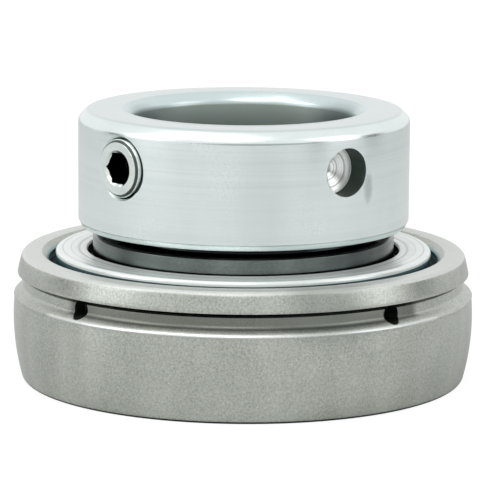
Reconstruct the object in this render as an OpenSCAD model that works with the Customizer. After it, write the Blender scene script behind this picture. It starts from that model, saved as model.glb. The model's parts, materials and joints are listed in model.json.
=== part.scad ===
/* [Rings] */
// Diameter of the shaft bore
bore_d = 30; // [30:0.1:30.5]
// Diameter of the spherical outside
outer_d = 62; // [62:0.1:63]
// Width of the outer ring
outer_w = 17.2; // [17:0.1:18]
// Step from the circle of the ball centres out to the outer ring's bore
outer_step = 2.2; // [2.1:0.05:2.3]
// Step from the circle of the ball centres in to the inner ring's land
inner_step = 2.7; // [2.6:0.05:2.8]
// Height of the inner ring's shoulder under the collar
shoulder_z = 19.9; // [19.5:0.1:20.2]
// Bevel of the outer ring's corners
outer_bevel = 0.4; // [0.2:0.1:0.6]

/* [Balls and cage] */
// Diameter of a ball
ball_d = 9.525; // [9:0.005:9.525]
// Number of balls
ball_count = 9; // [8:1:9]
// Radial clearance of a ball in either race
race_play = 0.06; // [0.05:0.01:0.1]
// Thickness of the cage strip
cage_t = 0.8; // [0.6:0.1:0.8]
// Clearance of a ball in its pocket
pocket_play = 0.18; // [0.15:0.01:0.2]
// Width of the cage strip
cage_w = 2.8; // [2.6:0.1:3.2]

/* [Locking collar] */
// Wall of the collar, from the shaft bore to its outside
collar_wall = 7.25; // [7:0.05:7.75]
// Width of the collar
collar_w = 15.6; // [15:0.1:16]
// Gap between the collar and the shoulder under it
collar_gap = 1.1; // [0.8:0.1:1.3]
// Offset of the cam from the shaft axis
cam_offset = 0.8; // [0.6:0.05:0.8]
// Mean wall of the cam round the shaft bore
cam_wall = 2.4; // [2.2:0.05:2.5]
// Radial clearance of the cam in the collar's recess
cam_play = 0.4; // [0.4:0.05:0.5]
// Length of the cam
cam_h = 5; // [4.5:0.1:5]
// Height of the screw and the drift hole above the collar's lower face
hole_z = 9.7; // [9.4:0.1:9.8]
// Direction of the drift hole, from the +X axis
drift_angle = -6.5; // [-10:0.5:60]
// Diameter of the drift hole
drift_d = 6.4; // [6:0.1:6.6]
// Depth of the drift hole's straight wall
drift_depth = 3.2; // [2.5:0.1:3.4]

/* [Set screw] */
// Outside diameter of the screw, thread crests included
screw_d = 7.7; // [7.5:0.05:7.8]
// Length of the screw
screw_len = 7; // [6.8:0.1:7.2]
// Size of the hexagon socket across its flats
socket_af = 4; // [4:0.1:4.2]
// Depth of the socket
socket_depth = 3.4; // [3:0.1:3.6]
// Height of the screw's face over the collar's outside
screw_proud = 0.5; // [0.3:0.05:0.7]
// Radial clearance of the screw in its hole
screw_play = 0.08; // [0.05:0.01:0.1]

/* [Seals] */
// Thickness of the shield's sheet
shield_t = 0.5; // [0.4:0.05:0.6]
// Gap between the shield and the inner ring's land
shield_gap = 0.65; // [0.6:0.05:0.8]
// Width of the shield's flat ring
shield_flat_w = 4.35; // [4.1:0.05:4.4]
// Depth of the shield's flat ring under the outer ring's face
shield_sink = 0.25; // [0.2:0.05:0.35]
// Width of the ledge in the outer ring's recess
ledge_w = 1; // [0.95:0.05:1.1]
// Bevel at the mouth of the recess
mouth_bevel = 0.9; // [0.6:0.05:0.95]
// Clearance of the seal's lip on the inner ring
lip_play = 0.08; // [0.06:0.01:0.12]

/* [Grease supply] */
// Height of the groove's sharp upper edge
groove_top = 14.45; // [14.2:0.05:14.5]
// Height at which the groove's soft lower shoulder ends
groove_low = 11.4; // [11.2:0.1:11.8]
// Depth of the groove's floor under the largest diameter
groove_depth = 1.35; // [1.1:0.05:1.5]
// Depth of the undercut behind the sharp edge
undercut = 0.5; // [0.3:0.05:0.6]
// Diameter of a grease hole
grease_d = 2.5; // [2.2:0.1:2.5]
// Directions of the grease holes, from the +X axis
grease_angles = [-88.5, -3.7]; // [-180:0.5:180]

/* [Hidden] */
$fn = 96;
cut = 0.5;                             // overrun of a cutting solid
bore_r = bore_d / 2;
outer_r = outer_d / 2;
pitch_r = (bore_r + outer_r) / 2;      // circle of the ball centres
ball_r = ball_d / 2;
drawn_section = 16;                    // height of the rings' section that the steps are given for
grow = (outer_r - bore_r) / drawn_section;
land_r = pitch_r - inner_step * grow;
outer_land_r = pitch_r + outer_step * grow;
collar_r = bore_r + collar_wall;
mid_z = outer_w / 2;                   // plane of the ball centres
ball_step = 360 / ball_count;

race_ratio = 1.04;                     // radius of the race's groove over the ball's radius
race_r = ball_r * race_ratio;
outer_race_r = pitch_r + ball_r + race_play;
inner_race_r = pitch_r - ball_r - race_play;
recess_r = outer_land_r + ledge_w * grow;
recess_depth = 2.6;
seat_z = outer_w - recess_depth;       // ledge that the shield is pressed on
crimp_depth = 0.45;
crimp_r = recess_r + crimp_depth;      // groove that holds the shield's rim
groove_r = outer_r - groove_depth * grow;
crimp_h = 0.9;
hole_drop = 0.1;                       // the lubrication holes lie this far under the edge
blend_h = 1.5;                         // height of the grease groove's soft shoulder
notch_h = 0.6;                         // height of the undercut's mouth
notch_rise = 0.15;                     // the undercut slopes up behind the edge by this
corner_r = sqrt(pow(outer_r, 2) - pow(mid_z - outer_bevel, 2));
corner_cut = outer_r + cut - corner_r + outer_bevel;
fit_gap = 0.03;                        // gap between pieces pressed together

collar_z = shoulder_z + collar_gap;
top_z = collar_z + collar_w;
cam_r = bore_r + cam_wall;
cam_root = 1;                          // the cam starts this far inside the ring
cam_top = shoulder_z + cam_h;
seat_gap = 0.1;                        // between the cam's end and the collar
recess_top = cam_top + seat_gap;
cam_recess_r = cam_r + cam_play;
collar_bevel = 1.25;                   // bevel of the collar's upper edge
collar_taper = 0.4;                    // the collar's lower edge tapers in by this,
collar_taper_h = 0.8;                  // over this height
bore_bevel = 1.35;                     // bevel at the upper end of the bore
edge = 0.4;                            // small bevel on turned edges
hole_level = collar_z + hole_z;
screw_r = screw_d / 2;
screw_hole_r = screw_r + screw_play;
screw_bevel = 0.45;                    // bevel at both ends of the screw
cup_r = 1.35;                          // hollow in the screw's inner end, as deep as this
drill_point = 59;                      // half the angle of a drill's point
overlap = 0.01;                        // a drill's point reaches this far into the wall above it

rivet_r = 0.7;
rivet_head_r = 1.2;
rivet_head_h = 0.5;
rivet_play = 0.02;

shield_top = outer_w - shield_sink;
shield_lip_h = 0.9;                    // turned-down inner edge of the shield
shield_round = 0.25;                   // bend at the two edges of the shield's flat ring
shield_under = shield_top - shield_t;  // underside of the flat ring
rim_z = seat_z + fit_gap;              // underside of the shield's rim
shield_r = land_r + shield_gap;
shield_flat_r = shield_r + shield_flat_w * grow;
foot_w = 0.45;                         // from the ledge's edge to the foot of the shield's slope

seal_t = 1;                            // thickness of the rubber washer
seal_top = shield_under - fit_gap;
seal_low = seal_top - seal_t;
seal_in = 0.7;                         // the washer ends this far inside the flat ring
seal_r = shield_flat_r - seal_in;
lip_drop = 1.6;                        // the lip runs this far under the shield's face
lip_z = shield_top - lip_drop;
lip_w = 0.25;                          // width of the running edge
lip_reach = 0.8;                       // from the shield's inner radius to the root of the lip

balls = [for (i = [1 : ball_count]) str("ball_", i)];
rivets = [for (i = [1 : ball_count]) str("cage_rivet_", i)];

// A cylinder from one height to another, with a bevel at each end
module beveled(r, z0, z1, b0, b1, b0_h) {
    rotate_extrude()
        polygon([[0, z0], [r - b0, z0], [r, z0 + (is_undef(b0_h) ? b0 : b0_h)],
                 [r, z1 - b1], [r - b1, z1], [0, z1]]);
}

// A cylinder that cuts a bore and bevels its two mouths
module bore_cut(r, z0, z1, b0, b1) {
    translate([0, 0, z0 - cut])
        cylinder(r = r, h = z1 - z0 + 2 * cut);
    if (b0 > 0)
        translate([0, 0, z0 - cut])
            cylinder(r1 = r + b0 + cut, r2 = r, h = b0 + cut);
    if (b1 > 0)
        translate([0, 0, z1 - b1])
            cylinder(r1 = r, r2 = r + b1 + cut, h = b1 + cut);
}

// Turns its children to point outwards in one direction, at the screw's height
module radial(angle) {
    translate([0, 0, hole_level])
        rotate([0, 0, angle])
            rotate([0, 90, 0])
                children();
}

// Puts its children on the lower side too, mirrored in the plane of the balls
module lower_side() {
    translate([0, 0, outer_w])
        mirror([0, 0, 1])
            children();
}

// The ball groove, on the given radius of its circle of centres
module race(centre_r) {
    translate([0, 0, mid_z])
        rotate_extrude()
            translate([centre_r, 0])
                circle(r = race_r);
}

// The recess and crimp groove in one face of the outer ring
module shield_recess() {
    translate([0, 0, seat_z])
        cylinder(r = recess_r, h = outer_w - seat_z + cut);
    translate([0, 0, seat_z])
        cylinder(r = crimp_r, h = crimp_h);
    translate([0, 0, outer_w - mouth_bevel])
        cylinder(r1 = recess_r, r2 = recess_r + mouth_bevel + cut, h = mouth_bevel + cut);
}

// The grease groove: an undercut sharp edge above, a soft shoulder below
module grease_groove() {
    steps = 10;
    blend = [for (i = [0 : steps])
        [groove_r + (outer_r - groove_r) * (1 - cos(180 * i / steps)) / 2,
         groove_low + blend_h * (1 - i / steps)]];
    rotate_extrude()
        polygon(concat([[outer_r + cut, groove_top],
                        [groove_r, groove_top],
                        [groove_r - undercut, groove_top + notch_rise],
                        [groove_r - undercut, groove_top - notch_h / 2],
                        [groove_r, groove_top - notch_h]],
                       blend,
                       [[outer_r + cut, groove_low]]));
}

module outer_ring() {
    color([0.62, 0.64, 0.61])
    difference() {
        intersection() {
            translate([0, 0, mid_z])
                sphere(r = outer_r);
            beveled(outer_r + cut, 0, outer_w, corner_cut, corner_cut);
        }
        translate([0, 0, -cut])
            cylinder(r = outer_land_r, h = outer_w + 2 * cut);
        race(outer_race_r - race_r);
        shield_recess();
        lower_side()
            shield_recess();
        grease_groove();
        for (angle = grease_angles)
            translate([0, 0, groove_top - hole_drop - grease_d / 2])
                rotate([0, 0, angle])
                    rotate([0, 90, 0])
                        translate([0, 0, outer_land_r - 2 * cut])
                            cylinder(d = grease_d, h = outer_r - outer_land_r + 4 * cut);
    }
}

module inner_ring() {
    color([0.45, 0.46, 0.46])
    difference() {
        union() {
            beveled(land_r, 0, shoulder_z, edge, edge);
            translate([cam_offset, 0, 0])
                beveled(cam_r, shoulder_z - cam_root, cam_top, 0, edge);
        }
        bore_cut(bore_r, 0, cam_top, edge, edge);
        race(inner_race_r + race_r);
    }
}

module locking_collar() {
    color([0.84, 0.88, 0.87])
    difference() {
        beveled(collar_r, collar_z, top_z, collar_taper, collar_bevel, collar_taper_h);
        bore_cut(bore_r, collar_z, top_z, 0, bore_bevel);
        translate([cam_offset, 0, 0])
            bore_cut(cam_recess_r, collar_z - cut, recess_top - cut, edge + cut, 0);
        radial(-90) {
            cylinder(r = screw_hole_r, h = collar_r + cut);
            translate([0, 0, collar_r - edge])
                cylinder(r1 = screw_hole_r, r2 = screw_hole_r + edge + cut, h = edge + cut);
        }
        radial(drift_angle) {
            translate([0, 0, collar_r - drift_depth])
                cylinder(d = drift_d, h = drift_depth + cut);
            translate([0, 0, collar_r - drift_depth - drift_d / 2 / tan(drill_point)])
                cylinder(d1 = 0, d2 = drift_d, h = drift_d / 2 / tan(drill_point) + overlap);
        }
    }
}

module set_screw() {
    face = collar_r + screw_proud;
    color([0.78, 0.79, 0.8])
    radial(-90)
        difference() {
            beveled(screw_r, face - screw_len, face, screw_bevel, screw_bevel);
            translate([0, 0, face - socket_depth])
                cylinder(d = socket_af / cos(30), h = socket_depth + cut, $fn = 6);
            translate([0, 0, face - socket_depth - socket_af / 2 / tan(drill_point)])
                cylinder(d1 = 0, d2 = socket_af, h = socket_af / 2 / tan(drill_point) + overlap);
            translate([0, 0, face - screw_len - cut])
                cylinder(r1 = cup_r + cut, r2 = 0, h = cup_r + cut);
        }
}

module ball(i) {
    color([0.86, 0.87, 0.88])
    rotate([0, 0, ball_step * (i - 1)])
        translate([pitch_r, 0, mid_z])
            sphere(r = ball_r);
}

// One pressed half of the cage, above the plane of the ball centres
module cage_half() {
    color([0.7, 0.68, 0.6])
    translate([0, 0, mid_z])
        difference() {
            intersection() {
                difference() {
                    cylinder(r = pitch_r + cage_w / 2, h = ball_d);
                    translate([0, 0, -cut])
                        cylinder(r = pitch_r - cage_w / 2, h = ball_d + 2 * cut);
                }
                union() {
                    cylinder(r = outer_r, h = cage_t);
                    for (i = [1 : ball_count])
                        rotate([0, 0, ball_step * (i - 1)])
                            translate([pitch_r, 0, 0])
                                sphere(r = ball_r + pocket_play + cage_t);
                }
            }
            for (i = [1 : ball_count])
                rotate([0, 0, ball_step * (i - 1)]) {
                    translate([pitch_r, 0, 0])
                        sphere(r = ball_r + pocket_play);
                    rotate([0, 0, ball_step / 2])
                        translate([pitch_r, 0, -cut])
                            cylinder(r = rivet_r + rivet_play, h = cage_t + 2 * cut);
                }
        }
}

module cage_upper() {
    cage_half();
}

module cage_lower() {
    lower_side()
        cage_half();
}

// A rivet between two balls, with a cone-shaped head on each half of the cage
module cage_rivet(i) {
    color([0.6, 0.6, 0.58])
    rotate([0, 0, ball_step * (i - 0.5)])
        translate([pitch_r, 0, mid_z]) {
            cylinder(r = rivet_r, h = 2 * (cage_t + rivet_head_h), center = true);
            for (side = [0, 1])
                mirror([0, 0, side])
                    translate([0, 0, cage_t])
                        cylinder(r1 = rivet_head_r, r2 = rivet_r, h = rivet_head_h);
        }
}

// A pressed shield: its rim in the crimp groove, a slope up, a flat ring and a turned-down lip
module shield() {
    color([0.85, 0.86, 0.86])
    rotate_extrude()
        polygon([
            [shield_r, shield_top - shield_lip_h],
            [shield_r, shield_top - shield_round],
            [shield_r + shield_round, shield_top],
            [shield_flat_r - shield_round, shield_top],
            [shield_flat_r + shield_round, shield_top - shield_round],
            [outer_land_r + foot_w, rim_z + shield_t],
            [crimp_r - fit_gap, rim_z + shield_t],
            [crimp_r - fit_gap, rim_z],
            [outer_land_r, rim_z],
            [shield_flat_r - shield_round, shield_under],
            [shield_r + shield_t, shield_under],
            [shield_r + shield_t, shield_top - shield_lip_h]
        ]);
}

module upper_shield() {
    shield();
}

module lower_shield() {
    lower_side()
        shield();
}

// The rubber washer under a shield, with a lip that runs on the inner ring
module seal() {
    lip_r = land_r + lip_play;
    color([0.08, 0.08, 0.09])
    rotate_extrude()
        polygon([
            [shield_r + shield_t + fit_gap, seal_top],
            [seal_r, seal_top],
            [seal_r + lip_w, seal_low],
            [shield_r + lip_reach, seal_low],
            [lip_r + lip_w, lip_z - lip_w],
            [lip_r, lip_z],
            [lip_r, lip_z + lip_w],
            [shield_r, shield_top - shield_lip_h - fit_gap],
            [shield_r + shield_t + fit_gap, shield_top - shield_lip_h - fit_gap]
        ]);
}

module upper_seal() {
    seal();
}

module lower_seal() {
    lower_side()
        seal();
}

outer_ring();
inner_ring();
locking_collar();
set_screw();
cage_upper();
cage_lower();
upper_shield();
lower_shield();
upper_seal();
lower_seal();
for (i = [1 : ball_count]) {
    ball(i);
    cage_rivet(i);
}
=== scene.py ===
import json
import math

import bmesh
import bpy
from mathutils import Matrix, Quaternion, Vector


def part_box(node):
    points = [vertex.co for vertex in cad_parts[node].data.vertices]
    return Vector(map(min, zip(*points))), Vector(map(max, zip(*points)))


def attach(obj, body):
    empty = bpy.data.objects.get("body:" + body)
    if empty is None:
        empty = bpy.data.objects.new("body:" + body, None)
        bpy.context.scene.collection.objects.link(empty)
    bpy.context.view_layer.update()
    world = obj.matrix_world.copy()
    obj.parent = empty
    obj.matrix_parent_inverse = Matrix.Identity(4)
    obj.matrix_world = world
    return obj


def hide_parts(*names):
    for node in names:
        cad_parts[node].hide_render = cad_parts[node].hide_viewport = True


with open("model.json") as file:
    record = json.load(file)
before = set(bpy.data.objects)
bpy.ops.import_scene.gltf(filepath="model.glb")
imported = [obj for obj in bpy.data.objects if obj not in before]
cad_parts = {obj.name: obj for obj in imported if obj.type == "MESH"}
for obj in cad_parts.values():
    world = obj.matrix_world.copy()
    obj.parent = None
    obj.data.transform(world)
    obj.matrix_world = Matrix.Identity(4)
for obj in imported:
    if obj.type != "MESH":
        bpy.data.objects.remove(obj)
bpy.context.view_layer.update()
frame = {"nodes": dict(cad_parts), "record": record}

mm = 0.001
fullTurn = 2 * math.pi
mergeDistance = 1e-7
hair = mm / 100  # points this close to a line count as on it
past = mm  # cutting tools run past the metal by this much, or a share or multiple of it
overlap = mm / 10  # a thread's ridge starts this deep in its core
bluntPoint = mm / 50  # radius of the end of a drill's point
raceSteps = 24  # straight pieces in the curve of a ball race

# Sizes read off the frame
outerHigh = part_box("outer_ring")[1]
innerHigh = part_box("inner_ring")[1]
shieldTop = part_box("upper_shield")[1].z
collarLow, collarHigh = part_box("locking_collar")
screwLow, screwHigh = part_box("set_screw")
mounts = {mount["name"]: mount for mount in frame["record"]["mounts"]}

outerRadius = mounts["housing_seat"]["dims"]["r_mm"] * mm
outerWidth = outerHigh.z
midHeight = outerWidth / 2
landRadius = innerHigh.y
collarRadius = collarHigh.y
boreRadius = mounts["shaft_bore"]["dims"]["r_mm"] * mm
driftAxis = Vector(mounts["drift_hole"]["axis"])
driftRadius = mounts["drift_hole"]["dims"]["r_mm"] * mm
driftDepth = mounts["drift_hole"]["dims"]["length_mm"] * mm
holeLevel = mounts["drift_hole"]["pos_m"][2]
screwAxis = Vector((0, -1, 0))
screwRadius = (screwHigh.x - screwLow.x) / 2
screwLength = screwHigh.y - screwLow.y
screwFace = -screwLow.y
camOffset = 0.8 * mm  # the cam lies this far off the shaft axis, towards +X


# Mesh helpers

def sphereRadiusAt(height):
    return math.sqrt(outerRadius ** 2 - (height - midHeight) ** 2)


def arcPoints(centre, radius, startAngle, endAngle, steps):
    angles = [startAngle + (endAngle - startAngle) * i / steps for i in range(steps + 1)]
    return [(centre[0] + radius * math.cos(angle), centre[1] + radius * math.sin(angle))
            for angle in angles]


def spinProfile(points, segments):
    bm = bmesh.new()
    corners = [bm.verts.new((radius, 0, height)) for radius, height in points]
    sides = [bm.edges.new(pair) for pair in zip(corners, corners[1:] + corners[:1])]
    bmesh.ops.spin(bm, geom=corners + sides, cent=(0, 0, 0), axis=(0, 0, 1), angle=fullTurn,
                   steps=segments, use_merge=True)
    bmesh.ops.remove_doubles(bm, verts=bm.verts, dist=mergeDistance)
    bmesh.ops.recalc_face_normals(bm, faces=bm.faces)
    return bm


def softenEdges(bm, width, where=None, segments=2, leastAngle=14):
    edges = [edge for edge in bm.edges
             if edge.is_manifold and edge.calc_face_angle() > math.radians(leastAngle)
             and (where is None or all(where(vert.co) for vert in edge.verts))]
    bmesh.ops.bevel(bm, geom=edges, offset=width, offset_type="OFFSET", segments=segments,
                    profile=0.5, affect="EDGES", clamp_overlap=True, material=-1)


def shadeByAngle(mesh, angle=32):
    mesh.polygons.foreach_set("use_smooth", [True] * len(mesh.polygons))
    mesh.set_sharp_from_angle(angle=math.radians(angle))


def finishPiece(bm, name):
    mesh = bpy.data.meshes.new(name)
    bm.to_mesh(mesh)
    bm.free()
    piece = bpy.data.objects.new(name, mesh)
    bpy.context.scene.collection.objects.link(piece)
    shadeByAngle(mesh)
    return piece


def combine(piece, tool, operation):
    joint = piece.modifiers.new(operation, "BOOLEAN")
    joint.operation = operation
    joint.object = tool
    joint.solver = "EXACT"
    ready = piece.evaluated_get(bpy.context.evaluated_depsgraph_get())
    mesh = bpy.data.meshes.new_from_object(ready)
    piece.modifiers.clear()
    piece.data = mesh
    bpy.data.objects.remove(tool)
    shadeByAngle(mesh)


def outwardPlace(axis, height):
    return Matrix.Translation((0, 0, height)) @ axis.to_track_quat("Z", "X").to_matrix().to_4x4()


def coneTool(name, lowRadius, highRadius, start, end, segments=96):
    bm = bmesh.new()
    bmesh.ops.create_cone(bm, cap_ends=True, segments=segments, radius1=lowRadius, radius2=highRadius,
                          depth=end - start, matrix=Matrix.Translation((0, 0, (start + end) / 2)))
    return finishPiece(bm, name)


def threadRidge(name, root, crest, pitch, start, end, stepsPerTurn=64):
    turns = math.ceil((end - start) / pitch) + 1
    flank = pitch * 0.42  # half the ridge's width at its root
    flat = pitch * 0.08  # and at its crest
    bm = bmesh.new()
    outline = [(root, -flank), (crest, -flat), (crest, flat), (root, flank)]
    corners = [bm.verts.new((radius, 0, start - pitch / 2 + height)) for radius, height in outline]
    face = bm.faces.new(corners)
    bmesh.ops.spin(bm, geom=[face] + list(face.edges) + corners, cent=(0, 0, 0), axis=(0, 0, 1),
                   dvec=(0, 0, pitch / stepsPerTurn), angle=fullTurn * turns, steps=turns * stepsPerTurn)
    rims = [edge for edge in bm.edges if edge.is_boundary]
    bmesh.ops.holes_fill(bm, edges=rims, sides=0)
    bmesh.ops.recalc_face_normals(bm, faces=bm.faces)
    return finishPiece(bm, name)


def carry(piece, body, node):
    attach(piece, body)
    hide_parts(node)
    return piece


# Outer ring

outerRingShape = {
    "segments": 384,
    "sphereSteps": 20,
    "blendSteps": 12,
    "topSteps": 5,
    "cornerBevel": 0.4 * mm,
    "grooveTop": 14.45 * mm,
    "grooveLow": 11.4 * mm,
    "grooveRadius": 29.65 * mm,
    "shoulderBlend": 1.5 * mm,
    "undercut": 0.5 * mm,
    "notchHeight": 0.6 * mm,
    "notchRise": 0.15 * mm,
    "holeDrop": 0.1 * mm,
    "recessRadius": 26.2 * mm,
    "mouthBevel": 0.9 * mm,
    "crimpRadius": 26.65 * mm,
    "crimpHeight": 0.9 * mm,
    "seatHeight": 14.6 * mm,
    "boreRadius": 25.2 * mm,
    "raceRadius": 4.953 * mm,
    "raceFloor": 27.8225 * mm,
    "greaseHole": 1.25 * mm,
    "greaseAngles": (-88.5, -3.7),  # degrees from +X
    "greaseHoleSegments": 48,
    "cornerSoftness": 0.22 * mm,
    "softBeyond": 29 * mm,  # the corners of both faces are rounded beyond this radius
    "softReach": 0.5 * mm,  # and this far from each face
    "edgeSoftness": 0.07 * mm,
}


def outerRingProfile(shape):
    bevel = shape["cornerBevel"]
    grooveLow, grooveTop, grooveRadius = shape["grooveLow"], shape["grooveTop"], shape["grooveRadius"]
    sphereSteps, blendSteps, topSteps = shape["sphereSteps"], shape["blendSteps"], shape["topSteps"]
    lowerSphere = [bevel + (grooveLow - bevel) * i / sphereSteps for i in range(sphereSteps)] + [grooveLow]
    outside = [(sphereRadiusAt(bevel) - bevel, 0)]
    outside += [(sphereRadiusAt(height), height) for height in lowerSphere]
    blendRise = outerRadius - grooveRadius
    outside += [(grooveRadius + blendRise * (1 + math.cos(math.pi * i / blendSteps)) / 2,
                 grooveLow + shape["shoulderBlend"] * i / blendSteps) for i in range(1, blendSteps + 1)]
    notchFloor = grooveRadius - shape["undercut"]
    outside += [(grooveRadius, grooveTop - shape["notchHeight"]),
                (notchFloor, grooveTop - shape["notchHeight"] / 2),
                (notchFloor, grooveTop + shape["notchRise"]),
                (grooveRadius, grooveTop)]
    upperSphere = [grooveTop + (outerWidth - bevel - grooveTop) * i / topSteps for i in range(topSteps + 1)]
    outside += [(sphereRadiusAt(height), height) for height in upperSphere]
    outside += [(sphereRadiusAt(bevel) - bevel, outerWidth)]
    crimpTop = shape["seatHeight"] + shape["crimpHeight"]
    recess = [(shape["recessRadius"] + shape["mouthBevel"], outerWidth),
              (shape["recessRadius"], outerWidth - shape["mouthBevel"]),
              (shape["recessRadius"], crimpTop),
              (shape["crimpRadius"], crimpTop),
              (shape["crimpRadius"], shape["seatHeight"]),
              (shape["boreRadius"], shape["seatHeight"])]
    raceCentre = (shape["raceFloor"] - shape["raceRadius"], midHeight)
    raceHalf = math.acos((shape["boreRadius"] - raceCentre[0]) / shape["raceRadius"])
    race = arcPoints(raceCentre, shape["raceRadius"], raceHalf, -raceHalf, raceSteps)
    lowerRecess = [(radius, outerWidth - height) for radius, height in reversed(recess)]
    return outside + recess + race + lowerRecess


def makeOuterRing(shape):
    bm = spinProfile(outerRingProfile(shape), shape["segments"])
    for face in (0, outerWidth):
        softenEdges(bm, shape["cornerSoftness"], segments=3, leastAngle=30,
                    where=lambda place: place.xy.length > shape["softBeyond"]
                    and abs(place.z - face) < shape["softReach"])
    softenEdges(bm, shape["edgeSoftness"])
    ring = finishPiece(bm, "outerRing")
    holeHeight = shape["grooveTop"] - shape["holeDrop"] - shape["greaseHole"]
    for angle in shape["greaseAngles"]:
        hole = coneTool("greaseHole", shape["greaseHole"], shape["greaseHole"],
                        shape["boreRadius"] - 2 * past, outerRadius + 2 * past, shape["greaseHoleSegments"])
        axis = Vector((math.cos(math.radians(angle)), math.sin(math.radians(angle)), 0))
        hole.data.transform(outwardPlace(axis, holeHeight))
        combine(ring, hole, "DIFFERENCE")
    return carry(ring, "outer", "outer_ring")


# Inner ring

innerRingShape = {
    "segments": 320,
    "bevel": 0.4 * mm,
    "shoulderHeight": 19.9 * mm,
    "camRadius": 17.4 * mm,
    "raceRadius": 4.953 * mm,
    "raceFloor": 18.1775 * mm,
    "edgeSoftness": 0.06 * mm,
}


def makeInnerRing(shape):
    bevel = shape["bevel"]
    shoulder = shape["shoulderHeight"]
    camTop = innerHigh.z
    camRadius = shape["camRadius"]
    raceCentre = (shape["raceFloor"] + shape["raceRadius"], midHeight)
    raceHalf = math.acos((raceCentre[0] - landRadius) / shape["raceRadius"])
    race = arcPoints(raceCentre, shape["raceRadius"], math.pi + raceHalf, math.pi - raceHalf, raceSteps)
    points = [(boreRadius + bevel, 0), (landRadius - bevel, 0), (landRadius, bevel)]
    points += race
    points += [(landRadius, shoulder - bevel), (landRadius - bevel, shoulder)]
    points += [(camRadius, shoulder), (camRadius, camTop - bevel), (camRadius - bevel, camTop)]
    points += [(boreRadius + bevel, camTop), (boreRadius, camTop - bevel), (boreRadius, bevel)]
    bm = spinProfile(points, shape["segments"])
    camVerts = [vert for vert in bm.verts if vert.co.z > shoulder - hair
                and camRadius - 1.5 * bevel < vert.co.xy.length < camRadius + hair]
    bmesh.ops.translate(bm, verts=camVerts, vec=(camOffset, 0, 0))
    softenEdges(bm, shape["edgeSoftness"])
    return carry(finishPiece(bm, "innerRing"), "inner", "inner_ring")


# Locking collar

collarShape = {
    "segments": 448,
    "lowerTaper": 0.4 * mm,
    "taperHeight": 0.8 * mm,
    "upperBevel": 1.25 * mm,
    "upperSoftness": 0.42 * mm,
    "softReach": 1.5 * mm,
    "boreBevel": 1.25 * mm,
    "recessBevel": 0.4 * mm,
    "recessRadius": 17.8 * mm,
    "recessTop": 25.0 * mm,
    "edgeSoftness": 0.07 * mm,
    "threadPitch": 1.25 * mm,
    "threadDepth": 0.3 * mm,
    "threadPlay": 0.05 * mm,
    "holeBevel": 0.4 * mm,
    "drillPoint": 59,  # degrees from the drill's axis
}


def collarBlank(shape):
    low, high = collarLow.z, collarHigh.z
    recess, recessBevel = shape["recessRadius"], shape["recessBevel"]
    points = [(boreRadius, shape["recessTop"]), (recess, shape["recessTop"]), (recess, low + recessBevel),
              (recess + recessBevel, low), (collarRadius - shape["lowerTaper"], low),
              (collarRadius, low + shape["taperHeight"]), (collarRadius, high - shape["upperBevel"]),
              (collarRadius - shape["upperBevel"], high), (boreRadius + shape["boreBevel"], high),
              (boreRadius, high - shape["boreBevel"])]
    bm = spinProfile(points, shape["segments"])
    recessVerts = [vert for vert in bm.verts if vert.co.z < shape["recessTop"] + hair
                   and recess - hair < vert.co.xy.length < recess + 1.5 * recessBevel]
    bmesh.ops.translate(bm, verts=recessVerts, vec=(camOffset, 0, 0))

    def isSoftCorner(place):  # an upper corner, other than the top edge of the bore's bevel
        outside = place.xy.length > recess + mm
        underTop = place.z < high - shape["boreBevel"] / 2
        return place.z > high - shape["softReach"] and (outside or underTop)

    softenEdges(bm, shape["upperSoftness"], segments=4, leastAngle=35, where=isSoftCorner)
    softenEdges(bm, shape["edgeSoftness"])
    return finishPiece(bm, "lockingCollar")


def makeCollar(shape):
    collar = collarBlank(shape)
    screwPlace = outwardPlace(screwAxis, holeLevel)
    threadCrest = screwRadius + shape["threadPlay"]
    core = coneTool("holeCore", threadCrest, threadCrest, boreRadius - 3 * past, collarRadius + 2 * past)
    ridge = threadRidge("holeThread", threadCrest - overlap, threadCrest + shape["threadDepth"],
                        shape["threadPitch"], boreRadius - 2 * past, collarRadius + past)
    combine(core, ridge, "UNION")
    mouth = coneTool("holeMouth", threadCrest, threadCrest + shape["holeBevel"] + past,
                     collarRadius - shape["holeBevel"], collarRadius + past)
    driftPlace = outwardPlace(driftAxis, holeLevel)
    driftFloor = collarRadius - driftDepth
    drift = coneTool("driftWall", driftRadius, driftRadius, driftFloor, collarRadius + past)
    pointLength = driftRadius / math.tan(math.radians(shape["drillPoint"]))
    tip = coneTool("driftTip", bluntPoint, driftRadius, driftFloor - pointLength, driftFloor + hair)
    for tool, place in ((core, screwPlace), (mouth, screwPlace), (drift, driftPlace), (tip, driftPlace)):
        tool.data.transform(place)
        combine(collar, tool, "DIFFERENCE")
    return carry(collar, "collar", "locking_collar")


# Set screw

screwShape = {
    "pitch": 1.25 * mm,
    "threadDepth": 0.6 * mm,
    "endBevel": 0.45 * mm,
    "lastCrest": 0.3 * mm,
    "socketAcross": 4 * mm,
    "socketDepth": 3.4 * mm,
    "socketBevel": 0.4 * mm,
    "cupDepth": 1.35 * mm,
    "drillPoint": 59,  # degrees from the drill's axis
    "segments": 96,
}


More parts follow.
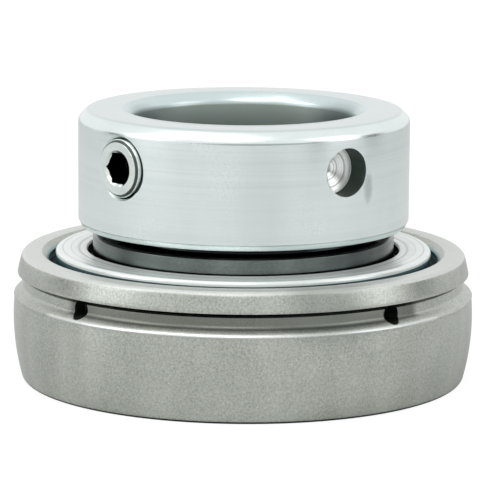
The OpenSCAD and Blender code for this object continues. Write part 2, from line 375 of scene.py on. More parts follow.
def makeSetScrew(shape):
    start, end = screwFace - screwLength, screwFace
    bevel = shape["endBevel"]
    root = screwRadius - shape["threadDepth"]
    screw = coneTool("setScrew", root, root, start - past / 2, end + past / 2)
    ridge = threadRidge("screwThread", root - overlap, screwRadius, shape["pitch"], start - past, end + past)
    combine(screw, ridge, "UNION")
    crest = coneTool("lastCrest", screwRadius, screwRadius, end - bevel - shape["lastCrest"], end + past / 4)
    combine(screw, crest, "UNION")
    envelope = spinProfile([(0, start), (screwRadius - bevel, start), (screwRadius, start + bevel),
                            (screwRadius, end - bevel), (screwRadius - bevel, end), (0, end)],
                           shape["segments"])
    combine(screw, finishPiece(envelope, "screwEnvelope"), "INTERSECT")
    halfSocket = shape["socketAcross"] / 2
    socketRadius = halfSocket / math.cos(math.pi / 6)  # out to the corners of the hexagon
    socketFloor = end - shape["socketDepth"]
    socket = coneTool("socket", socketRadius, socketRadius, socketFloor, end + past, 6)
    mouth = coneTool("socketMouth", halfSocket, halfSocket + shape["socketBevel"] + past,
                     end - shape["socketBevel"], end + past)
    pointLength = halfSocket / math.tan(math.radians(shape["drillPoint"]))
    tip = coneTool("socketTip", bluntPoint, halfSocket, socketFloor - pointLength, socketFloor + hair)
    cup = coneTool("cup", shape["cupDepth"] + past, 0, start - past, start + shape["cupDepth"])
    for tool in (socket, mouth, tip, cup):
        combine(screw, tool, "DIFFERENCE")
    screw.data.transform(outwardPlace(screwAxis, holeLevel))
    return carry(screw, "screw", "set_screw")


# Shields

shieldShape = {
    "segments": 320,
    "innerRadius": 20.95 * mm,
    "sheet": 0.5 * mm,
    "flatRadius": 25.3 * mm,
    "shoulderRound": 0.5 * mm,
    "shoulderSteps": 6,
    "lipHeight": 0.9 * mm,
    "lipRound": 0.25 * mm,
    "rimRadius": 26.62 * mm,
    "seatHeight": 14.63 * mm,
    "seatGap": 0.03 * mm,
    "stepRadius": 25.2 * mm,
    "beadRadius": 22.1 * mm,
    "beadWidth": 0.3 * mm,
    "beadFloorWidth": 0.12 * mm,
    "beadDepth": 0.07 * mm,
    "edgeSoftness": 0.05 * mm,
    "upperRise": 0.7 * mm,  # in the photo the upper shield stands this much higher than its solid
}


def shieldProfile(shape, rise):
    inner = shape["innerRadius"]
    top = shieldTop + rise
    lipEnd = shieldTop - shape["lipHeight"]
    sheet = shape["sheet"]
    bend = shape["shoulderRound"]
    flat = shape["flatRadius"]
    rimTop = shape["seatHeight"] - shape["seatGap"] + sheet
    beadTop, beadFloor = shape["beadWidth"], shape["beadFloorWidth"]
    middle, low = shape["beadRadius"], top - shape["beadDepth"]
    bead = [(middle - beadTop, top), (middle - beadFloor, low),
            (middle + beadFloor, low), (middle + beadTop, top)]
    shoulder = arcPoints((flat - bend, top - bend), bend, math.pi / 2, 0, shape["shoulderSteps"])
    face = [(inner, lipEnd), (inner, top - shape["lipRound"]), (inner + shape["lipRound"], top)]
    rim = [(flat, rimTop + sheet / 2), (flat + sheet / 2, rimTop), (shape["rimRadius"], rimTop),
           (shape["rimRadius"], shape["seatHeight"]), (shape["stepRadius"], shape["seatHeight"])]
    back = [(flat - sheet, rimTop), (flat - sheet, top - bend), (flat - bend - sheet / 2, top - sheet),
            (inner + sheet, top - sheet), (inner + sheet, lipEnd)]
    return face + bead + shoulder + rim + back


def mirroredDown(bm):
    bmesh.ops.scale(bm, verts=bm.verts, vec=(1, 1, -1))
    bmesh.ops.translate(bm, verts=bm.verts, vec=(0, 0, outerWidth))
    bmesh.ops.recalc_face_normals(bm, faces=bm.faces)


def makeShield(shape, name, node, below):
    rise = 0 if below else shape["upperRise"]
    bm = spinProfile(shieldProfile(shape, rise), shape["segments"])
    softenEdges(bm, shape["edgeSoftness"])
    if below:
        mirroredDown(bm)
    return carry(finishPiece(bm, name), "outer", node)


print("modelling the rings")
outerRing = makeOuterRing(outerRingShape)
innerRing = makeInnerRing(innerRingShape)
print("modelling the collar and its screw")
lockingCollar = makeCollar(collarShape)
setScrew = makeSetScrew(screwShape)
print("modelling the shields")
upperShield = makeShield(shieldShape, "upperShield", "upper_shield", False)
lowerShield = makeShield(shieldShape, "lowerShield", "lower_shield", True)


# Shader helpers

class Wire:
    def __init__(self, nodes, socket):
        self.nodes = nodes
        self.socket = socket

    def outlet(self, name):
        return Wire(self.nodes, self.socket.node.outputs[name])

    def calculate(self, operation, first, second):
        return self.nodes.add("ShaderNodeMath", {"operation": operation},
                              {"Value": first, "Value_001": second})

    def __add__(self, other):
        return self.calculate("ADD", self, other)

    def __radd__(self, other):
        return self.calculate("ADD", other, self)

    def __sub__(self, other):
        return self.calculate("SUBTRACT", self, other)

    def __rsub__(self, other):
        return self.calculate("SUBTRACT", other, self)

    def __mul__(self, other):
        return self.calculate("MULTIPLY", self, other)

    def __rmul__(self, other):
        return self.calculate("MULTIPLY", other, self)

    def __truediv__(self, other):
        return self.calculate("DIVIDE", self, other)

    def __pow__(self, other):
        return self.calculate("POWER", self, other)


def findSocket(sockets, key):
    return next(socket for socket in sockets if key in (socket.identifier, socket.name))


class Nodes:
    def __init__(self, tree):
        self.tree = tree

    def feed(self, socket, value):
        if isinstance(value, Wire):
            self.tree.links.new(value.socket, socket)
        else:
            socket.default_value = value

    def add(self, kind, settings, inputs, output=None):
        node = self.tree.nodes.new(kind)
        for key, value in settings.items():
            if key == "stops":
                self.setStops(node.color_ramp, value)
            else:
                setattr(node, key, value)
        for key, value in inputs.items():
            self.feed(findSocket(node.inputs, key), value)
        return Wire(self, findSocket(node.outputs, output) if output else node.outputs[0])

    def setStops(self, ramp, stops):
        while len(ramp.elements) < len(stops):
            ramp.elements.new(1)
        for element, (place, colour) in zip(ramp.elements, stops):
            element.position = place
            element.color = (*colour, 1)

    def noise(self, vector, scale, detail=2, roughness=0.5):
        return self.add("ShaderNodeTexNoise", {}, {"Vector": vector, "Scale": scale, "Detail": detail,
                                                   "Roughness": roughness}, "Fac")

    def vector(self, operation, first, second, output="Vector"):
        return self.add("ShaderNodeVectorMath", {"operation": operation},
                        {"Vector": first, "Vector_001": second}, output)

    def blend(self, factor, first, second):
        return self.add("ShaderNodeMix", {"data_type": "RGBA"},
                        {"Factor_Float": factor, "A_Color": first, "B_Color": second}, "Result_Color")

    def between(self, value, low, high):
        return self.add("ShaderNodeMapRange", {"clamp": True, "interpolation_type": "SMOOTHSTEP"},
                        {"Value": value, "From Min": low, "From Max": high, "To Min": 0.0, "To Max": 1.0})

    def bump(self, height):
        return self.add("ShaderNodeBump", {}, {"Strength": 1.0, "Distance": 1.0, "Height": height})


class Finish(Nodes):
    def __init__(self, name):
        self.material = bpy.data.materials.new(name)
        self.material.use_nodes = True
        super().__init__(self.material.node_tree)
        self.shader = self.tree.nodes["Principled BSDF"]

    def set(self, **values):
        for key, value in values.items():
            self.feed(self.shader.inputs[key.replace("_", " ")], value)


# Masks for the patches of a metal's surface that are darker, lighter or rougher than the rest: painted
# shade, painted highlights, stains and tool marks

patchShape = {
    "drillRings": (0.45, 0.6),  # range of the noise in which the rings of a drilled floor begin
    "facingSoftness": 0.04,
    "stainAndShadeHeart": 0.35,  # share of the size of a stain, and of a patch of painted shade, that has its full strength
}
cameraSide = Vector((0.723, -0.691, 0))  # the side of the bearing that faces the camera, near the middle between its two grease holes


def holeMask(finish, place, hole):
    offset = finish.vector("SUBTRACT", place, (0, 0, holeLevel))
    along = finish.vector("DOT_PRODUCT", offset, tuple(hole["axis"]), "Value")
    across = (finish.vector("DOT_PRODUCT", offset, offset, "Value") - along * along) ** 0.5
    soft = hole["soft"]
    mask = (finish.between(along, hole["bottom"] - soft, hole["bottom"])
            * (1 - finish.between(along, hole["top"] - soft, hole["top"]))
            * finish.between(across, hole["inner"] - soft, hole["inner"])
            * (1 - finish.between(across, hole["outer"], hole["outer"] + soft)))
    if "ringSpacing" in hole:
        turns = finish.add("ShaderNodeCombineXYZ", {}, {"X": across * (1 / hole["ringSpacing"])})
        mask = mask * finish.between(finish.noise(turns, 1.0, roughness=0.6), *patchShape["drillRings"])
    return mask


def ringMask(finish, place, radius, height, ring):
    soft = ring["soft"]
    mask = (finish.between(radius, ring["inner"] - soft, ring["inner"])
            * (1 - finish.between(radius, ring["outer"], ring["outer"] + soft))
            * finish.between(height, ring["low"], ring["low"] + soft)
            * (1 - finish.between(height, ring["high"], ring["high"] + soft)))
    if "facing" in ring:  # only where the cosine of the angle to the camera's side of the bearing is at least this: painted light and shade kept to the side the camera sees
        toFront = finish.vector("DOT_PRODUCT", place, tuple(cameraSide), "Value") / radius
        mask = mask * finish.between(toFront, ring["facing"], ring["facing"] + patchShape["facingSoftness"])
    return mask


def stainAndShadeMask(finish, place, grain, stainAndShadePatch):
    away = finish.vector("MULTIPLY", finish.vector("SUBTRACT", place, stainAndShadePatch["place"]), stainAndShadePatch["squeeze"])
    far = finish.add("ShaderNodeVectorMath", {"operation": "LENGTH"}, {"Vector": away}, "Value")
    far = far + (grain - 0.5) * stainAndShadePatch["ragged"]
    return 1 - finish.between(far, stainAndShadePatch["size"] * patchShape["stainAndShadeHeart"], stainAndShadePatch["size"])


# Metals: fine lines run round the shaft axis, with bands, grain and clouds over them

turning = {
    "faceCloseness": 1.3,  # lines lie this many times as close on flat faces as on round walls
    "broadLines": 0.22,  # scale of the broad lines, where the fine ones have 1
    "bandsPerMetre": 60,
}


def turnedMetal(name, look, holes, rings, stainsAndPaintedShade):
    finish = Finish(name)
    place = finish.add("ShaderNodeTexCoord", {}, {}, "Object")
    x = finish.add("ShaderNodeSeparateXYZ", {}, {"Vector": place}, "X")
    y, z = x.outlet("Y"), x.outlet("Z")
    radius = (x * x + y * y) ** 0.5
    stretch = look["lineStretch"]
    bands = look["bandCount"]
    turned = finish.add("ShaderNodeCombineXYZ", {}, {
        "X": x / radius * stretch, "Y": y / radius * stretch,
        "Z": (z + radius * turning["faceCloseness"]) * (1 / look["lineSpacing"])})
    around = finish.add("ShaderNodeCombineXYZ", {}, {
        "X": x / radius * bands, "Y": y / radius * bands, "Z": z * turning["bandsPerMetre"]})
    fine = finish.noise(turned, 1.0, detail=3, roughness=0.65)
    broad = finish.noise(turned, turning["broadLines"])
    band = finish.noise(around, 1.0)
    grain = finish.noise(place, 1 / look["grainSize"], detail=3, roughness=0.65)
    cloud = finish.noise(place, 1 / look["cloudSize"], detail=3)
    level = ((fine + broad - 1) * look["lineTint"] + (grain - 0.5) * look["grainTint"]
             + (cloud - 0.5) * look["cloudTint"] + (band - 0.5) * look["bandTint"] + 0.5)
    stops = [(0.0, look["dark"]), (0.5, look["colour"]), (1.0, look["light"])]
    colour = finish.add("ShaderNodeValToRGB", {"stops": stops}, {"Fac": level}, "Color")
    metallic = look["metallic"]
    rough = (cloud + grain - 1) * look["roughSpread"] + look["roughness"]
    patches = [(ring, ringMask(finish, place, radius, z, ring)) for ring in rings]
    patches += [(hole, holeMask(finish, place, hole)) for hole in holes]
    patches += [(stainAndShadePatch, stainAndShadeMask(finish, place, grain, stainAndShadePatch)) for stainAndShadePatch in stainsAndPaintedShade]
    for patch, mask in patches:
        colour = finish.blend(mask * patch["strength"], colour, (*patch["colour"], 1))
        if "matt" in patch:
            metallic = metallic - mask * patch["matt"]
        if "rougher" in patch:
            rough = rough + mask * patch["rougher"]
    height = (fine + broad) * look["lineDepth"] + grain * look["grainDepth"]
    finish.set(Base_Color=colour, Roughness=rough, Metallic=metallic, Normal=finish.bump(height))
    return finish.material


metalLooks = {
    "outerSteel": {
        "colour": (0.43, 0.455, 0.415), "dark": (0.16, 0.17, 0.15), "light": (0.7, 0.725, 0.68),
        "lineSpacing": 0.16 * mm, "lineStretch": 5, "lineTint": 0.08, "lineDepth": 0.0005 * mm,
        "bandCount": 7, "bandTint": 0.3,
        "grainSize": 0.24 * mm, "grainTint": 1.1, "grainDepth": 0.004 * mm,
        "cloudSize": 9 * mm, "cloudTint": 0.3,
        "roughness": 0.34, "roughSpread": 0.12, "metallic": 1.0,
    },
    # A darker copy of the bearing steel: its colour is darkened as painted shade under the collar
    "innerSteelInShade": {
        "colour": (0.155, 0.185, 0.175), "dark": (0.045, 0.055, 0.055), "light": (0.3, 0.34, 0.32),
        "lineSpacing": 0.14 * mm, "lineStretch": 0.6, "lineTint": 0.2, "lineDepth": 0.0006 * mm,
        "bandCount": 4, "bandTint": 0.65,
        "grainSize": 0.26 * mm, "grainTint": 0.6, "grainDepth": 0.0006 * mm,
        "cloudSize": 6 * mm, "cloudTint": 0.3,
        "roughness": 0.24, "roughSpread": 0.08, "metallic": 1.0,
    },
    "collarPlate": {
        "colour": (0.74, 0.815, 0.8), "dark": (0.54, 0.61, 0.6), "light": (0.87, 0.93, 0.92),
        "lineSpacing": 0.22 * mm, "lineStretch": 0.35, "lineTint": 0.34, "lineDepth": 0.0011 * mm,
        "bandCount": 5, "bandTint": 0.2,
        "grainSize": 0.3 * mm, "grainTint": 0.2, "grainDepth": 0.0012 * mm,
        "cloudSize": 7 * mm, "cloudTint": 0.22,
        "roughness": 0.26, "roughSpread": 0.06, "metallic": 1.0,
    },
    "screwPlate": {
        "colour": (0.72, 0.79, 0.76), "dark": (0.4, 0.45, 0.43), "light": (0.88, 0.93, 0.91),
        "lineSpacing": 0.2 * mm, "lineStretch": 2, "lineTint": 0.1, "lineDepth": 0.0004 * mm,
        "bandCount": 3, "bandTint": 0.1,
        "grainSize": 0.4 * mm, "grainTint": 0.3, "grainDepth": 0.0016 * mm,
        "cloudSize": 1.6 * mm, "cloudTint": 0.4,
        "roughness": 0.24, "roughSpread": 0.1, "metallic": 1.0,
    },
    "shieldSteel": {
        "colour": (0.86, 0.91, 0.89), "dark": (0.55, 0.62, 0.61), "light": (0.92, 0.95, 0.94),
        "lineSpacing": 0.4 * mm, "lineStretch": 1.5, "lineTint": 0.25, "lineDepth": 0.0008 * mm,
        "bandCount": 8, "bandTint": 0.25,
        "grainSize": 0.5 * mm, "grainTint": 0.08, "grainDepth": 0.0003 * mm,
        "cloudSize": 9 * mm, "cloudTint": 0.15,
        "roughness": 0.24, "roughSpread": 0.06, "metallic": 0.35,
    },
    "cageSteel": {
        "colour": (0.5, 0.49, 0.44), "dark": (0.35, 0.34, 0.3), "light": (0.62, 0.61, 0.56),
        "lineSpacing": 0.3 * mm, "lineStretch": 6, "lineTint": 0.1, "lineDepth": 0.0006 * mm,
        "bandCount": 8, "bandTint": 0.2,
        "grainSize": 0.4 * mm, "grainTint": 0.2, "grainDepth": 0.0008 * mm,
        "cloudSize": 5 * mm, "cloudTint": 0.2,
        "roughness": 0.32, "roughSpread": 0.1, "metallic": 1.0,
    },
    "ballSteel": {
        "colour": (0.68, 0.69, 0.7), "dark": (0.6, 0.61, 0.62), "light": (0.76, 0.77, 0.78),
        "lineSpacing": 0.5 * mm, "lineStretch": 8, "lineTint": 0.04, "lineDepth": 0.0001 * mm,
        "bandCount": 2, "bandTint": 0.05,
        "grainSize": 0.6 * mm, "grainTint": 0.05, "grainDepth": 0.0001 * mm,
        "cloudSize": 4 * mm, "cloudTint": 0.08,
        "roughness": 0.06, "roughSpread": 0.02, "metallic": 1.0,
    },
}

# The walls and floors of drilled holes, measured from the shaft axis along each hole: painted shade in the
# holes, a painted highlight on the drift hole's floor, and the rings that the drill left
holePaintedLightAndDrillRings = {
    "collarPlate": [
        {"axis": screwAxis, "inner": 0, "outer": 4.4 * mm,  # the screw's threaded hole, darkened as painted shade
         "bottom": boreRadius, "top": collarRadius - 0.42 * mm, "soft": 0.08 * mm,
         "strength": 0.95, "rougher": 0.2, "colour": (0.02, 0.03, 0.025)},
        {"axis": driftAxis, "inner": 0, "outer": driftRadius + 0.03 * mm,  # the drift hole's wall, darkened as painted shade
         "bottom": collarRadius - driftDepth, "top": collarRadius - 0.12 * mm, "soft": 0.05 * mm,
         "strength": 0.93, "rougher": 0.2, "colour": (0.05, 0.075, 0.055)},
        {"axis": driftAxis, "inner": 0, "outer": driftRadius,  # its floor, made bright as a painted highlight
         "bottom": boreRadius, "top": collarRadius - driftDepth, "soft": 0.02 * mm,
         "strength": 0.9, "colour": (0.95, 0.97, 0.96)},
        {"axis": driftAxis, "inner": 0, "outer": driftRadius,  # the rings that the drill left on it
         "bottom": boreRadius, "top": collarRadius - driftDepth, "soft": 0.02 * mm,
         "ringSpacing": 0.42 * mm, "strength": 0.55, "colour": (0.12, 0.14, 0.13)},
    ],
    "screwPlate": [
        {"axis": screwAxis, "inner": 0, "outer": 2.4 * mm,  # the hexagon socket, painted near black as shade
         "bottom": boreRadius, "top": screwFace - 0.3 * mm, "soft": 0.06 * mm,
         "strength": 0.98, "colour": (0.006, 0.005, 0.005)},
        {"axis": screwAxis, "inner": 3.46 * mm, "outer": 3.7 * mm,  # painted shade: a dark line round the flat end
         "bottom": screwFace - 0.45 * mm, "top": screwFace, "soft": 0.05 * mm,
         "strength": 0.93, "rougher": 0.1, "colour": (0.03, 0.035, 0.035)},
        {"axis": screwAxis, "inner": 3 * mm, "outer": 4 * mm,  # the thread, where it is in the collar, darkened as painted shade
         "bottom": boreRadius, "top": collarRadius - 0.3 * mm, "soft": 0.1 * mm,
         "strength": 0.9, "rougher": 0.1, "colour": (0.02, 0.025, 0.025)},
    ],
}

# Rings of the surface round the shaft axis: mostly painted shade and painted light, and some lines on the
# shield
ringsOfPaintedLightAndLines = {
    "collarPlate": [
        {"inner": 10 * mm, "outer": boreRadius + 0.05 * mm,  # the bore's wall, darkened as painted shade
         "low": 20 * mm, "high": 40 * mm, "soft": 0.2 * mm,
         "strength": 0.85, "matt": 0.3, "rougher": 0.1, "colour": (0.36, 0.42, 0.385)},
        {"inner": boreRadius + 1.3 * mm, "outer": collarRadius,  # the top face, darkened as painted shade to tone down its reflection
         "low": 36.3 * mm, "high": 40 * mm, "soft": 0.2 * mm,
         "strength": 0.75, "colour": (0.6, 0.665, 0.655)},
        {"inner": 10 * mm, "outer": boreRadius + 1.3 * mm,  # the bore's bevel, darkened as painted shade to tone down its reflection
         "low": 35 * mm, "high": 40 * mm, "soft": 0.15 * mm,
         "strength": 0.6, "colour": (0.53, 0.63, 0.645)},
        {"inner": 10 * mm, "outer": 21.7 * mm,  # the lower face, painted near black as shade
         "low": 20 * mm, "high": 21.02 * mm, "soft": 0.1 * mm,
         "strength": 0.95, "colour": (0.02, 0.02, 0.022)},
    ],
    "innerSteelInShade": [
        {"inner": 20 * mm, "outer": 21 * mm,  # the outside wall up to the shield, painted near black as shade in the gap
         "low": 10 * mm, "high": 17.66 * mm, "soft": 0.06 * mm,
         "strength": 0.95, "colour": (0.012, 0.014, 0.014)},
        {"inner": 10 * mm, "outer": 19.9 * mm,  # the shoulder and the cam under the collar, painted near black as shade
         "low": 19.7 * mm, "high": 40 * mm, "soft": 0.15 * mm,
         "strength": 0.97, "colour": (0.012, 0.012, 0.014)},
    ],
    "outerSteel": [
        {"inner": 20 * mm, "outer": 26.3 * mm,  # inside the recess and the bore, painted dark teal as painted shade and painted reflection
         "low": -mm, "high": 20 * mm, "soft": 0.3 * mm,
         "strength": 0.85, "colour": (0.13, 0.3, 0.33)},
        {"inner": 27.2 * mm, "outer": 31 * mm,  # the top face and its corner, made lighter as painted light
         "low": 16.75 * mm, "high": 20 * mm, "soft": 0.1 * mm,
         "strength": 0.6, "matt": 0.75, "colour": (0.78, 0.8, 0.78)},
        {"inner": 28 * mm, "outer": 31.5 * mm,  # the lower corner, painted near black as the contact shadow
         "low": -mm, "high": 0.3 * mm, "soft": 0.08 * mm,
         "strength": 0.95, "colour": (0.02, 0.02, 0.02)},
        {"inner": 30.2 * mm, "outer": 31.2 * mm,  # painted highlight on the edge under the groove
         "low": 11.35 * mm, "high": 11.75 * mm, "soft": 0.2 * mm, "facing": 0.55,
         "strength": 0.6, "colour": (0.78, 0.8, 0.78)},
        {"inner": 28 * mm, "outer": 30 * mm,  # the groove, darkened as painted shade
         "low": 12 * mm, "high": 14.3 * mm, "soft": 0.3 * mm, "facing": 0.64,
         "strength": 0.8, "colour": (0.11, 0.12, 0.1)},
        {"inner": 28 * mm, "outer": 30.1 * mm,  # the undercut at its top, painted near black as shade
         "low": 14.0 * mm, "high": 14.42 * mm, "soft": 0.08 * mm, "facing": 0.66,
         "strength": 0.97, "colour": (0.01, 0.01, 0.01)},
    ],
    "shieldSteel": [
        {"inner": 25.1 * mm, "outer": 28 * mm,  # the side and the rim, painted near black as shade
         "low": 8 * mm, "high": 16.97 * mm, "soft": 0.05 * mm,
         "strength": 0.97, "colour": (0.03, 0.07, 0.085)},
        {"inner": 20 * mm, "outer": 21.12 * mm,  # the lip at the inner ring, painted near black as shade in the gap
         "low": -mm, "high": 18 * mm, "soft": 0.06 * mm,
         "strength": 0.95, "colour": (0.015, 0.018, 0.018)},
        {"inner": 24.3 * mm, "outer": 24.4 * mm,  # a line on the flat
         "low": -mm, "high": 20 * mm, "soft": 0.12 * mm,
         "strength": 0.5, "colour": (0.28, 0.38, 0.4)},
        {"inner": 23.2 * mm, "outer": 23.25 * mm,  # a fainter one
         "low": -mm, "high": 20 * mm, "soft": 0.12 * mm,
         "strength": 0.35, "colour": (0.3, 0.38, 0.39)},
        {"inner": 22 * mm, "outer": 22.2 * mm,  # the bead
         "low": -mm, "high": 20 * mm, "soft": 0.15 * mm,
         "strength": 0.5, "colour": (0.25, 0.3, 0.3)},
    ],
}

# Rubbed spots, stains and patches of painted shade. A larger squeeze makes one narrower along that axis, and
# ragged roughens its rim
stainsAndPaintedShade = {
    "collarPlate": [
        # A rub mark on the wall, a soft painted dark reflection at the front of the wall, and a painted dark
        # line under the upper corner
        {"place": (22.21 * mm, 1.2 * mm, 28.3 * mm), "squeeze": (1, 1, 0.42), "size": 1.1 * mm,
         "ragged": mm, "strength": 0.6, "colour": (0.36, 0.42, 0.41)},
        {"place": (17.6 * mm, -13.6 * mm, 28 * mm), "squeeze": (1, 1, 0.3), "size": 4.5 * mm,
         "ragged": mm, "strength": 0.3, "colour": (0.6, 0.665, 0.66)},
        {"place": (17.2 * mm, -14.1 * mm, 34.95 * mm), "squeeze": (1, 1, 60), "size": 11 * mm,
         "ragged": 3 * mm, "strength": 0.75, "colour": (0.3, 0.35, 0.36)},
        # Painted shade on the left and right sides of the bore
        {"place": (-13.2 * mm, -7 * mm, 32 * mm), "squeeze": (1, 1, 2), "size": 9.5 * mm,
         "ragged": 0, "strength": 0.9, "matt": 0.7, "rougher": 0.35, "colour": (0.05, 0.07, 0.08)},
        {"place": (4.85 * mm, 14.2 * mm, 32 * mm), "squeeze": (1, 1, 2), "size": 10 * mm,
         "ragged": 0, "strength": 0.9, "matt": 0.7, "rougher": 0.35, "colour": (0.03, 0.05, 0.06)},
    ],
    "outerSteel": [
        {"place": (28.3 * mm, -11.3 * mm, 16 * mm), "squeeze": (1, 1, 1), "size": 8 * mm,
         "ragged": 2 * mm, "strength": 0.45, "colour": (0.22, 0.24, 0.215)},
    ],
    "innerSteelInShade": [
        # Painted shade on the inner ring, darker towards its left and right ends
        {"place": (20.1 * mm, 2.9 * mm, 18.5 * mm), "squeeze": (1, 1, 1), "size": 12 * mm,
         "ragged": 2 * mm, "strength": 0.6, "colour": (0.05, 0.06, 0.06)},
        {"place": (2.2 * mm, -20.2 * mm, 18.5 * mm), "squeeze": (1, 1, 1), "size": 9 * mm,
         "ragged": 2 * mm, "strength": 0.4, "colour": (0.07, 0.085, 0.08)},
    ],
}

# Rubber of the seals

rubberLook = {
    "colour": (0.012, 0.012, 0.013), "dusty": (0.03, 0.03, 0.032),
    "dustSize": 0.4 * mm, "dustEdges": (0.2, 0.5), "cloudSize": 4 * mm,
    "roughness": 0.45, "roughSpread": 0.2, "depth": 0.004 * mm,
}


def sealRubber(look):
    finish = Finish("sealRubber")
    place = finish.add("ShaderNodeTexCoord", {}, {}, "Object")
    dust = finish.noise(place, 1 / look["dustSize"], detail=4, roughness=0.6)
    cloud = finish.noise(place, 1 / look["cloudSize"])
    dusted = finish.between(dust * cloud, *look["dustEdges"])
    finish.set(Base_Color=finish.blend(dusted, (*look["colour"], 1), (*look["dusty"], 1)),
               Roughness=look["roughness"] + cloud * look["roughSpread"],
               Normal=finish.bump(dust * look["depth"]))
    return finish.material


print("making the materials")
materials = {name: turnedMetal(name, look, holePaintedLightAndDrillRings.get(name, ()), ringsOfPaintedLightAndLines.get(name, ()),
                               stainsAndPaintedShade.get(name, ()))
             for name, look in metalLooks.items()}
materials["sealRubber"] = sealRubber(rubberLook)


def dress(piece, name):
    piece.data.materials.clear()
    piece.data.materials.append(materials[name])


dress(outerRing, "outerSteel")
dress(innerRing, "innerSteelInShade")
dress(lockingCollar, "collarPlate")
dress(setScrew, "screwPlate")
for shield in (upperShield, lowerShield):
    dress(shield, "shieldSteel")
for name, node in frame["nodes"].items():
    if name.startswith("ball_"):
        dress(node, "ballSteel")
    elif name.startswith("cage_"):
        dress(node, "cageSteel")
    elif name.endswith("_seal"):
        dress(node, "sealRubber")


# Camera, light and floor

cameraView = {
    "azimuth": 46.3,
    "elevation": 10.32,
    "distance": 462.1 * mm,
    "rightShift": 0.095 * mm,
    "targetHeight": 18.02 * mm,
    "roll": 0.38,
    "pixelsPerMetre": 7402.5,  # at the distance of the target, in a picture 488 pixels wide
    "pictureWidth": 488,
    "sensorWidth": 36,
    "clipRatio": 50,
}


def directionAt(azimuth, elevation=0):
    azimuth, elevation = math.radians(azimuth), math.radians(elevation)
    return Vector((math.sin(azimuth) * math.cos(elevation), -math.cos(azimuth) * math.cos(elevation),
                   math.sin(elevation)))


def makeCamera(settings):
    azimuth = math.radians(settings["azimuth"])
    distance = settings["distance"]
    back = directionAt(settings["azimuth"], settings["elevation"])
    right = Vector((math.cos(azimuth), math.sin(azimuth), 0))
    target = right * settings["rightShift"] + Vector((0, 0, settings["targetHeight"]))
    data = bpy.data.cameras.new("camera")
    data.sensor_width = settings["sensorWidth"]
    data.lens = settings["pixelsPerMetre"] * distance / settings["pictureWidth"] * settings["sensorWidth"]
    data.clip_start = distance / settings["clipRatio"]
    data.clip_end = distance * settings["clipRatio"]
    camera = bpy.data.objects.new("camera", data)
    bpy.context.scene.collection.objects.link(camera)
    camera.location = target + back * distance
    camera.rotation_mode = "QUATERNION"
    roll = Quaternion((0, 0, 1), math.radians(settings["roll"]))
    camera.rotation_quaternion = back.to_track_quat("Z", "Y") @ roll
    bpy.context.scene.camera = camera


lamps = {
    "upperLeft": {"azimuth": -24.7, "elevation": 55, "distance": 0.55, "size": (0.15, 0.38),
                  "brightness": 1.5},
    "upperMiddle": {"azimuth": 34.3, "elevation": 58, "distance": 0.55, "size": (0.26, 0.38),
                    "brightness": 1.5},
    "leftBox": {"azimuth": -25, "elevation": 28, "distance": 0.6, "size": (0.3, 0.5),
                "brightness": 1.1},
    "rightBox": {"azimuth": 118, "elevation": 28, "distance": 0.6, "size": (0.3, 0.5),
                 "brightness": 0.95},
}


def makeLamp(name, lamp):
    back = directionAt(lamp["azimuth"], lamp["elevation"])
    width, length = lamp["size"]
    data = bpy.data.lights.new(name, "AREA")
    data.shape = "RECTANGLE"
    data.size, data.size_y = width, length
    data.energy = lamp["brightness"] * math.pi * width * length
    light = bpy.data.objects.new(name, data)
    bpy.context.scene.collection.objects.link(light)
    light.location = back * lamp["distance"] + Vector((0, 0, midHeight))
    light.rotation_mode = "QUATERNION"
    light.rotation_quaternion = back.to_track_quat("Z", "Y")


# Dark cards that stand round the bearing for its reflections, out of the picture
cards = {
    "rightCard": {"azimuth": 142, "distance": 0.35, "low": 0.02, "high": 0.16, "width": 0.12},
    "leftCard": {"azimuth": -50, "distance": 0.35, "low": 0.02, "high": 0.12, "width": 0.1},
    "nearCard": {"azimuth": 96, "distance": 0.35, "low": 0.03, "high": 0.1, "width": 0.07},
}
studio = {
    "floorSize": 4, "floorColour": (0.86, 0.86, 0.86), "cardColour": (0.05, 0.05, 0.05),
    "paperRoughness": 0.9, "floorGlow": 0.8, "glowStrength": 1.12, "fill": 0.64,
}


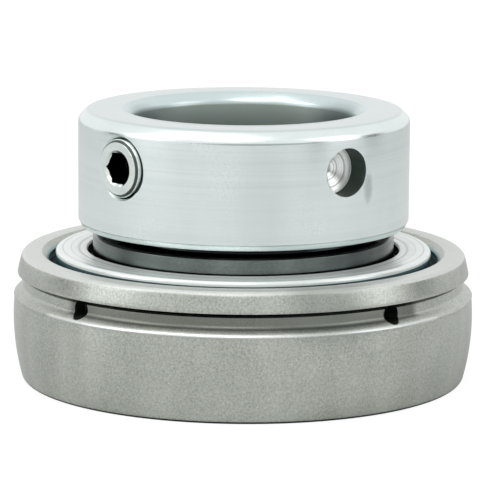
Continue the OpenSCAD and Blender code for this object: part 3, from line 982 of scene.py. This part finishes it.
def flatSheet(name, width, height, place):
    bm = bmesh.new()
    bmesh.ops.create_grid(bm, x_segments=1, y_segments=1, size=0.5)
    bmesh.ops.scale(bm, verts=bm.verts, vec=(width, height, 1))
    bmesh.ops.transform(bm, verts=bm.verts, matrix=place)
    piece = finishPiece(bm, name)
    return piece


def makeCard(name, card, settings):
    back = directionAt(card["azimuth"])
    middle = back * card["distance"] + Vector((0, 0, (card["low"] + card["high"]) / 2))
    place = Matrix.Translation(middle) @ back.to_track_quat("Z", "Y").to_matrix().to_4x4()
    piece = flatSheet(name, card["width"], card["high"] - card["low"], place)
    finish = Finish(name)
    finish.set(Base_Color=(*settings["cardColour"], 1), Roughness=settings["paperRoughness"])
    piece.data.materials.append(finish.material)
    piece.visible_camera = False
    piece.visible_diffuse = False
    piece.visible_shadow = False


def makeFloor(settings):
    floor = flatSheet("floor", settings["floorSize"], settings["floorSize"], Matrix.Identity(4))
    finish = Finish("floorPaper")
    finish.set(Base_Color=(*settings["floorColour"], 1), Roughness=settings["paperRoughness"])
    seen = finish.add("ShaderNodeLightPath", {}, {}, "Is Camera Ray")
    glow = finish.add("ShaderNodeEmission", {}, {
        "Color": (1, 1, 1, 1), "Strength": settings["glowStrength"]})
    paper = Wire(finish, finish.shader.outputs[0])
    mixed = finish.add("ShaderNodeMixShader", {}, {
        "Fac": seen * settings["floorGlow"], "Shader": paper, "Shader_001": glow})
    finish.feed(finish.tree.nodes["Material Output"].inputs["Surface"], mixed)
    floor.data.materials.append(finish.material)


def makeWorld(settings):
    world = bpy.data.worlds.new("world")
    world.use_nodes = True
    bpy.context.scene.world = world
    sky = Nodes(world.node_tree)
    seen = sky.add("ShaderNodeLightPath", {}, {}, "Is Camera Ray")
    white = seen + seen.outlet("Is Glossy Ray") + seen.outlet("Is Transmission Ray")
    strength = white.calculate("MINIMUM", white, 1.0) * (1 - settings["fill"]) + settings["fill"]
    background = sky.tree.nodes["Background"]
    sky.feed(background.inputs["Color"], (1, 1, 1, 1))
    sky.feed(background.inputs["Strength"], strength)


print("setting up the studio")
bpy.context.scene.view_settings.view_transform = "Standard"
makeCamera(cameraView)
for name, lamp in lamps.items():
    makeLamp(name, lamp)
makeFloor(studio)
for name, card in cards.items():
    makeCard(name, card, studio)
makeWorld(studio)
